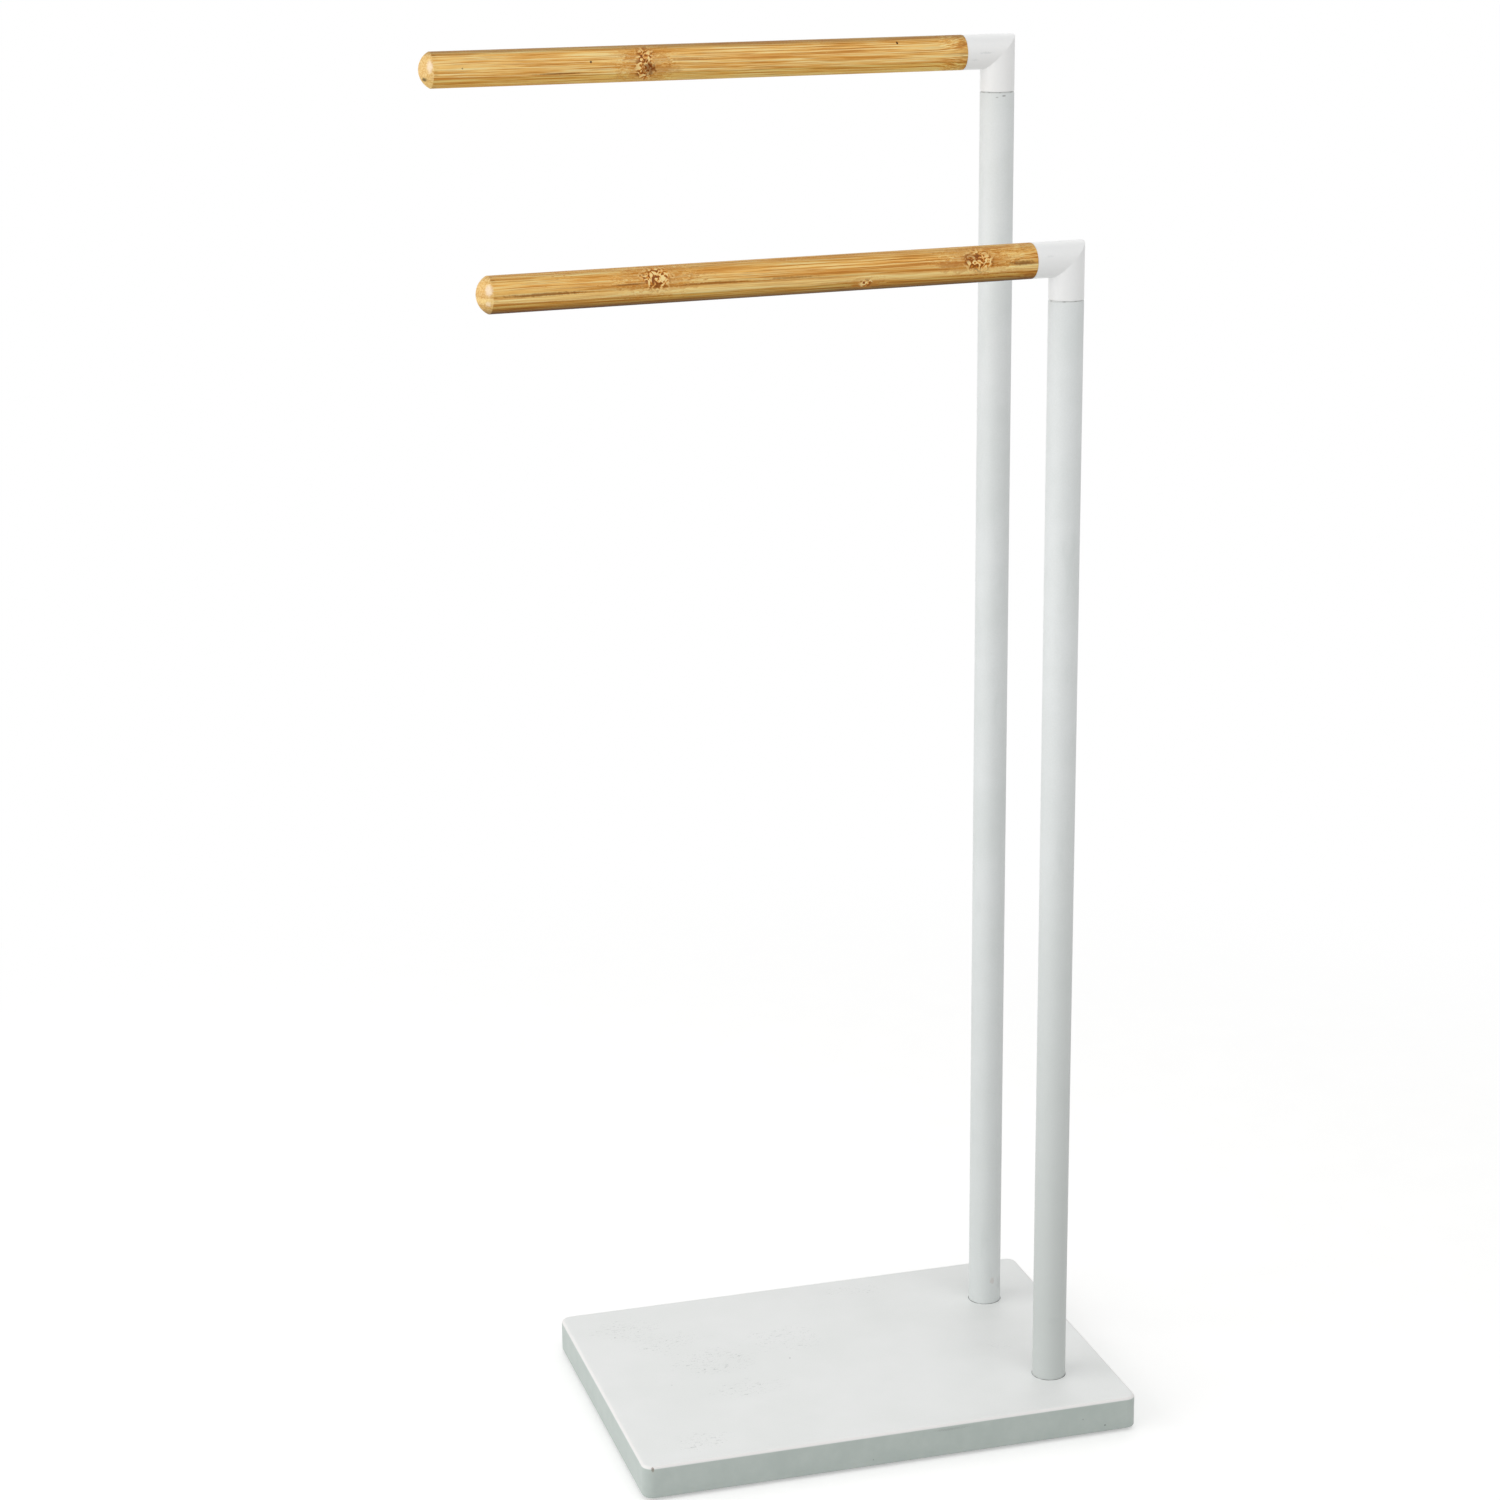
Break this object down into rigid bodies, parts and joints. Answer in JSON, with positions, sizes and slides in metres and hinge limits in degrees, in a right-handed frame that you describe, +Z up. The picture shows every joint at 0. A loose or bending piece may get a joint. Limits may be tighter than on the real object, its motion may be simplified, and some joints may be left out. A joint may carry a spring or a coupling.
{
  "type": "freestanding towel stand",
  "caption": "Freestanding towel stand: a white rectangular base board, round steel poles of two heights, and a bamboo towel rod that swivels on each pole's elbow.",
  "frame": {"origin": "on the floor, under the middle of the whole stand's bounding box with the arms as pictured", "axes": "+X along the board towards its end with the poles, +Y from the front pole to the rear pole, +Z up along the poles"},
  "size_m": [0.382, 0.212, 0.815],
  "materials": {
    "white_lacquer": "fibreboard, white satin lacquer",
    "powder_coat": "matt white powder coat on steel tube",
    "elbow_plastic": "moulded white plastic, satin",
    "bamboo": "laminated bamboo, clear satin lacquer",
    "zinc_steel": "bright zinc plated",
    "brass": "turned",
    "nylon": "natural nylon",
    "ring_rubber": "matt black",
    "pad_rubber": "matt grey, self-adhesive"
  },
  "bodies": {
    "stand": {"base_board": "white_lacquer", "foot_pad_front_left": "pad_rubber", "foot_pad_front_right": "pad_rubber", "foot_pad_rear_left": "pad_rubber", "foot_pad_rear_right": "pad_rubber", "rear_pole": "powder_coat", "rear_pole_foot_plug": "zinc_steel", "rear_base_bolt": "zinc_steel", "rear_flat_washer": "zinc_steel", "rear_spring_washer": "zinc_steel", "rear_pole_bush": "nylon", "front_pole": "powder_coat", "front_pole_foot_plug": "zinc_steel", "front_base_bolt": "zinc_steel", "front_flat_washer": "zinc_steel", "front_spring_washer": "zinc_steel", "front_pole_bush": "nylon"},
    "rear_arm": {"rear_swivel_pin": "zinc_steel", "rear_friction_ring": "ring_rubber", "rear_elbow": "elbow_plastic", "rear_elbow_plug": "brass", "rear_rod_stud": "zinc_steel", "rear_rod_insert": "zinc_steel", "rear_rod": "bamboo"},
    "front_arm": {"front_swivel_pin": "zinc_steel", "front_friction_ring": "ring_rubber", "front_elbow": "elbow_plastic", "front_elbow_plug": "brass", "front_rod_stud": "zinc_steel", "front_rod_insert": "zinc_steel", "front_rod": "bamboo"}
  },
  "joints": [
    {"name": "rear_arm_swivel", "type": "hinge", "parent": "stand", "child": "rear_arm", "pos_m": [0.15152, 0.0525, 0.7825], "axis": [0, 0, 1], "continuous": true},
    {"name": "front_arm_swivel", "type": "hinge", "parent": "stand", "child": "front_arm", "pos_m": [0.15152, -0.0605, 0.6765], "axis": [0, 0, 1], "range_deg": [-85, 253]}
  ]
}
